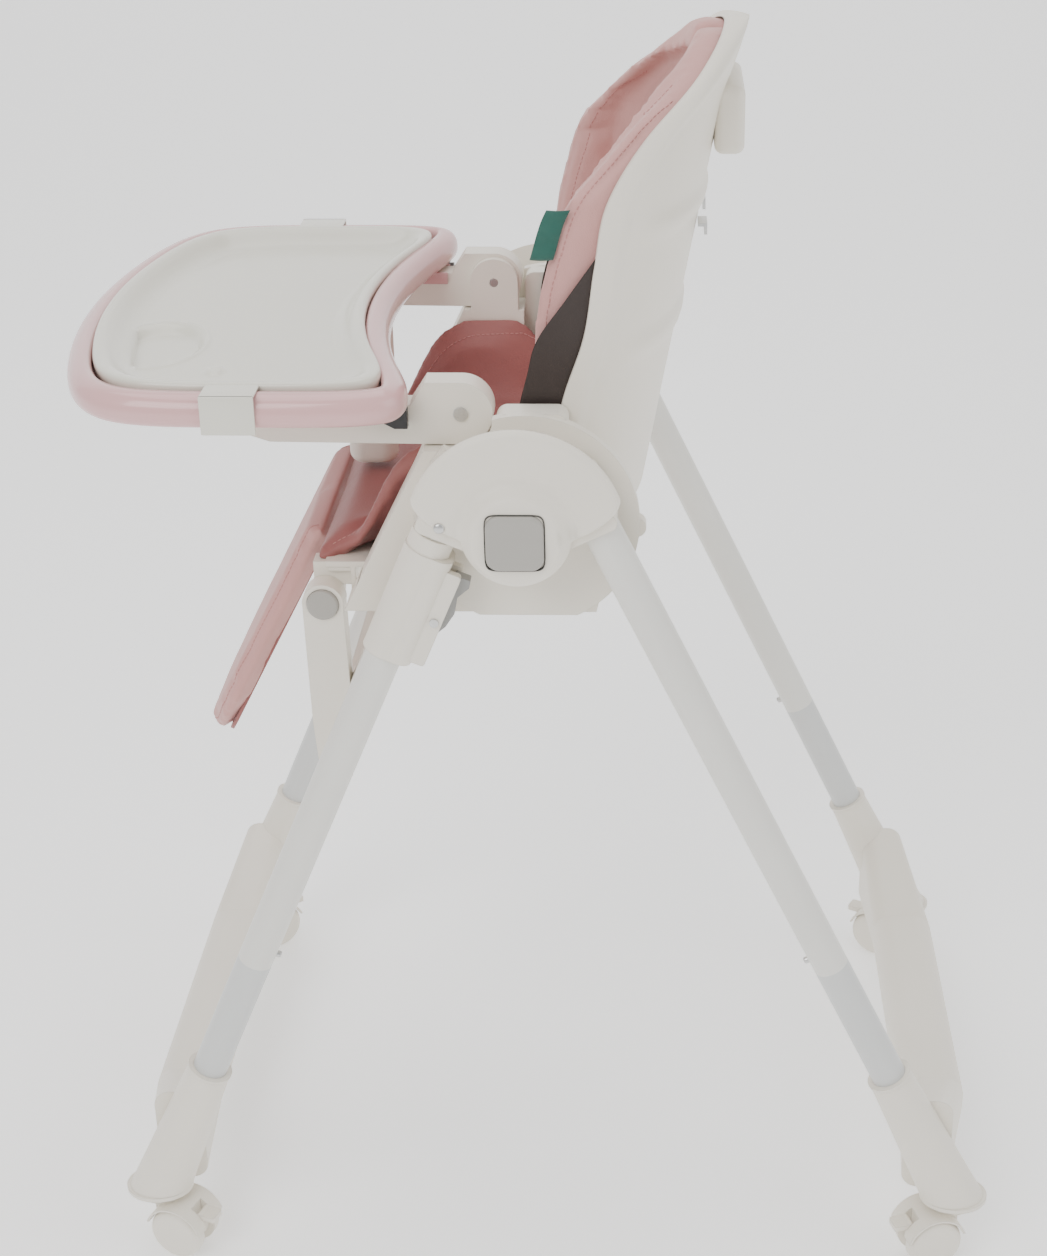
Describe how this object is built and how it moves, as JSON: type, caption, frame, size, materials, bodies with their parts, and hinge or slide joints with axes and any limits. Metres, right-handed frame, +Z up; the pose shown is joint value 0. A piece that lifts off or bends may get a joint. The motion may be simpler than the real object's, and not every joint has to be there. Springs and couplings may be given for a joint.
{
  "type": "baby high chair",
  "caption": "Folding baby high chair with a lift-up tray, reclining padded back, height-adjustable seat, footrest, calf rest and swivel casters.",
  "frame": {"origin": "on the floor, under the middle of the overall length and width", "axes": "+X across the chair, -Y towards the tray and the child's feet, +Z up"},
  "size_m": [0.5596, 0.7783, 1.046],
  "materials": {
    "ivory_plastic": "fine satin moulded",
    "gloss_pink_plastic": "polished",
    "white_gloss_plastic": "polished",
    "pink_leather": "soft grained",
    "white_tube": "powder coated",
    "grey_tube": "powder coated",
    "grey_button": "satin",
    "grey_lever": "satin",
    "bright_steel": "zinc plated",
    "black_plastic": "satin",
    "dark_board": "matt"
  },
  "bodies": {
    "front_legs": {"front_base_bar": "ivory_plastic", "front_upper_tubes": "white_tube", "front_lower_tubes": "grey_tube", "front_screws": "bright_steel", "front_hub_bracket_right": "ivory_plastic", "front_hub_bracket_left": "ivory_plastic", "hub_cover_right": "ivory_plastic", "hub_cover_left": "ivory_plastic", "hub_pins": "bright_steel"},
    "rear_legs": {"rear_base_bar": "ivory_plastic", "rear_upper_tubes": "white_tube", "rear_lower_tubes": "grey_tube", "rear_screws": "bright_steel", "rear_hub_bracket_right": "ivory_plastic", "rear_hub_bracket_left": "ivory_plastic"},
    "front_right_caster": {"front_right_caster_fork": "ivory_plastic"},
    "front_right_wheels": {"front_right_caster_wheels": "ivory_plastic"},
    "front_right_brake": {"front_right_caster_brake": "ivory_plastic"},
    "front_right_snap": {"front_right_snap_button": "bright_steel"},
    "front_left_caster": {"front_left_caster_fork": "ivory_plastic"},
    "front_left_wheels": {"front_left_caster_wheels": "ivory_plastic"},
    "front_left_brake": {"front_left_caster_brake": "ivory_plastic"},
    "front_left_snap": {"front_left_snap_button": "bright_steel"},
    "rear_right_caster": {"rear_right_caster_fork": "ivory_plastic"},
    "rear_right_wheels": {"rear_right_caster_wheels": "ivory_plastic"},
    "rear_right_brake": {"rear_right_caster_brake": "ivory_plastic"},
    "rear_right_snap": {"rear_right_snap_button": "bright_steel"},
    "rear_left_caster": {"rear_left_caster_fork": "ivory_plastic"},
    "rear_left_wheels": {"rear_left_caster_wheels": "ivory_plastic"},
    "rear_left_brake": {"rear_left_caster_brake": "ivory_plastic"},
    "rear_left_snap": {"rear_left_snap_button": "bright_steel"},
    "seat": {"seat_shell": "ivory_plastic", "seat_pad": "pink_leather", "height_sleeve_right": "ivory_plastic", "height_sleeve_left": "ivory_plastic", "lever_screws": "bright_steel", "arm_screws": "bright_steel", "footrest_shaft": "bright_steel", "back_pins": "bright_steel"},
    "height_lever_right": {"height_lever_right": "grey_lever"},
    "hub_button_right": {"hub_button_right": "grey_button"},
    "footrest_cap_right": {"footrest_cap_right": "grey_button"},
    "arm_right": {"armrest_right": "ivory_plastic"},
    "height_lever_left": {"height_lever_left": "grey_lever"},
    "hub_button_left": {"hub_button_left": "grey_button"},
    "footrest_cap_left": {"footrest_cap_left": "grey_button"},
    "arm_left": {"armrest_left": "ivory_plastic"},
    "back": {"back_shell": "ivory_plastic", "back_pad": "pink_leather", "belt_clips": "bright_steel"},
    "recline_handle": {"recline_handle": "ivory_plastic"},
    "tray": {"tray_frame": "gloss_pink_plastic", "crotch_post": "ivory_plastic"},
    "tray_insert": {"tray_insert": "white_gloss_plastic"},
    "tray_latches": {"tray_latches": "black_plastic"},
    "footrest": {"footrest_frame": "ivory_plastic"},
    "calf_rest": {"calf_pad": "pink_leather", "calf_board": "dark_board"}
  },
  "joints": [
    {"name": "rear_leg_fold", "type": "hinge", "parent": "front_legs", "child": "rear_legs", "pos_m": [0, -0.012, 0.707], "axis": [-1, 0, 0], "range_deg": [0, 38]},
    {"name": "front_right_caster_swivel", "type": "hinge", "parent": "front_legs", "child": "front_right_caster", "pos_m": [0.2367, -0.3498, 0.055], "axis": [0, 0, 1], "continuous": true},
    {"name": "front_right_wheel_spin", "type": "hinge", "parent": "front_right_caster", "child": "front_right_wheels", "pos_m": [0.24422, -0.32913, 0.025], "axis": [-0.9397, 0.342, 0], "continuous": true},
    {"name": "front_right_brake_press", "type": "hinge", "parent": "front_right_caster", "child": "front_right_brake", "pos_m": [0.25124, -0.30987, 0.0425], "axis": [-0.9397, 0.342, 0], "range_deg": [0, 10], "stiffness_Nm_per_rad": 0.05},
    {"name": "front_right_snap_press", "type": "slide", "parent": "front_legs", "child": "front_right_snap", "axis": [0, -0.9191, 0.3939], "range_m": [0, 0.0035], "stiffness_N_per_m": 200},
    {"name": "front_left_caster_swivel", "type": "hinge", "parent": "front_legs", "child": "front_left_caster", "pos_m": [-0.2367, -0.3498, 0.055], "axis": [0, 0, 1], "continuous": true},
    {"name": "front_left_wheel_spin", "type": "hinge", "parent": "front_left_caster", "child": "front_left_wheels", "pos_m": [-0.24932, -0.33178, 0.025], "axis": [-0.8192, -0.5736, 0], "continuous": true},
    {"name": "front_left_brake_press", "type": "hinge", "parent": "front_left_caster", "child": "front_left_brake", "pos_m": [-0.26108, -0.31499, 0.0425], "axis": [-0.8192, -0.5736, 0], "range_deg": [0, 10], "stiffness_Nm_per_rad": 0.05},
    {"name": "front_left_snap_press", "type": "slide", "parent": "front_legs", "child": "front_left_snap", "axis": [0, -0.9191, 0.3939], "range_m": [0, 0.0035], "stiffness_N_per_m": 200},
    {"name": "rear_right_caster_swivel", "type": "hinge", "parent": "rear_legs", "child": "rear_right_caster", "pos_m": [0.2367, 0.35961, 0.055], "axis": [0, 0, 1], "continuous": true},
    {"name": "rear_right_wheel_spin", "type": "hinge", "parent": "rear_right_caster", "child": "rear_right_wheels", "pos_m": [0.2435, 0.33868, 0.025], "axis": [0.9511, 0.309, 0], "continuous": true},
    {"name": "rear_right_brake_press", "type": "hinge", "parent": "rear_right_caster", "child": "rear_right_brake", "pos_m": [0.24983, 0.31919, 0.0425], "axis": [0.9511, 0.309, 0], "range_deg": [0, 10], "stiffness_Nm_per_rad": 0.05},
    {"name": "rear_right_snap_press", "type": "slide", "parent": "rear_legs", "child": "rear_right_snap", "axis": [0, 0.9018, 0.4321], "range_m": [0, 0.0035], "stiffness_N_per_m": 200},
    {"name": "rear_left_caster_swivel", "type": "hinge", "parent": "rear_legs", "child": "rear_left_caster", "pos_m": [-0.2367, 0.35961, 0.055], "axis": [0, 0, 1], "continuous": true},
    {"name": "rear_left_wheel_spin", "type": "hinge", "parent": "rear_left_caster", "child": "rear_left_wheels", "pos_m": [-0.24703, 0.34018, 0.025], "axis": [0.8829, -0.4695, 0], "continuous": true},
    {"name": "rear_left_brake_press", "type": "hinge", "parent": "rear_left_caster", "child": "rear_left_brake", "pos_m": [-0.25665, 0.32208, 0.0425], "axis": [0.8829, -0.4695, 0], "range_deg": [0, 10], "stiffness_Nm_per_rad": 0.05},
    {"name": "rear_left_snap_press", "type": "slide", "parent": "rear_legs", "child": "rear_left_snap", "axis": [0, 0.9018, 0.4321], "range_m": [0, 0.0035], "stiffness_N_per_m": 200},
    {"name": "seat_height", "type": "slide", "parent": "front_legs", "child": "seat", "axis": [0, -0.3939, -0.9191], "range_m": [0, 0.16]},
    {"name": "height_lever_right_squeeze", "type": "hinge", "parent": "seat", "child": "height_lever_right", "pos_m": [0.2367, -0.07815, 0.62906], "axis": [1, 0, 0], "range_deg": [0, 8], "stiffness_Nm_per_rad": 0.3},
    {"name": "hub_button_right_press", "type": "slide", "parent": "front_legs", "child": "hub_button_right", "axis": [-1, 0, 0], "range_m": [0, 0.003], "stiffness_N_per_m": 300},
    {"name": "footrest_cap_right_press", "type": "slide", "parent": "footrest", "child": "footrest_cap_right", "axis": [-1, 0, 0], "range_m": [0, 0.003], "stiffness_N_per_m": 300},
    {"name": "height_lever_left_squeeze", "type": "hinge", "parent": "seat", "child": "height_lever_left", "pos_m": [-0.2367, -0.07815, 0.62906], "axis": [1, 0, 0], "range_deg": [0, 8], "stiffness_Nm_per_rad": 0.3},
    {"name": "hub_button_left_press", "type": "slide", "parent": "front_legs", "child": "hub_button_left", "axis": [1, 0, 0], "range_m": [0, 0.003], "stiffness_N_per_m": 300},
    {"name": "footrest_cap_left_press", "type": "slide", "parent": "footrest", "child": "footrest_cap_left", "axis": [1, 0, 0], "range_m": [0, 0.003], "stiffness_N_per_m": 300},
    {"name": "back_recline", "type": "hinge", "parent": "seat", "child": "back", "pos_m": [0, 0.015, 0.692], "axis": [-1, 0, 0], "range_deg": [0, 25]},
    {"name": "recline_handle_squeeze", "type": "slide", "parent": "back", "child": "recline_handle", "axis": [0, 0, 1], "range_m": [0, 0.008], "stiffness_N_per_m": 300},
    {"name": "arm_left_lift", "type": "hinge", "parent": "seat", "child": "arm_left", "pos_m": [-0.1807, -0.057, 0.78], "axis": [-1, 0, 0], "range_deg": [0, 75]},
    {"name": "arm_right_lift", "type": "hinge", "parent": "seat", "child": "arm_right", "pos_m": [0.1807, -0.057, 0.78], "axis": [-1, 0, 0], "range_deg": [0, 75]},
    {"name": "tray_slide", "type": "slide", "parent": "arm_left", "child": "tray", "axis": [0, -1, 0], "range_m": [0, 0.05]},
    {"name": "tray_insert_lift", "type": "slide", "parent": "tray", "child": "tray_insert", "axis": [0, 0, 1], "range_m": [0, 0.05]},
    {"name": "tray_latch_pull", "type": "slide", "parent": "tray", "child": "tray_latches", "axis": [0, -1, 0], "range_m": [0, 0.005], "stiffness_N_per_m": 300},
    {"name": "footrest_lift", "type": "hinge", "parent": "seat", "child": "footrest", "pos_m": [0, -0.1765, 0.611], "axis": [-1, 0, 0], "range_deg": [0, 50]},
    {"name": "calf_rest_lift", "type": "hinge", "parent": "seat", "child": "calf_rest", "pos_m": [0, -0.1845, 0.65], "axis": [-1, 0, 0], "range_deg": [0, 50]}
  ],
  "couplings": [
    {"joint": "arm_right_lift", "follows": "arm_left_lift", "ratio": 1},
    {"joint": "calf_rest_lift", "follows": "footrest_lift", "ratio": 1}
  ]
}
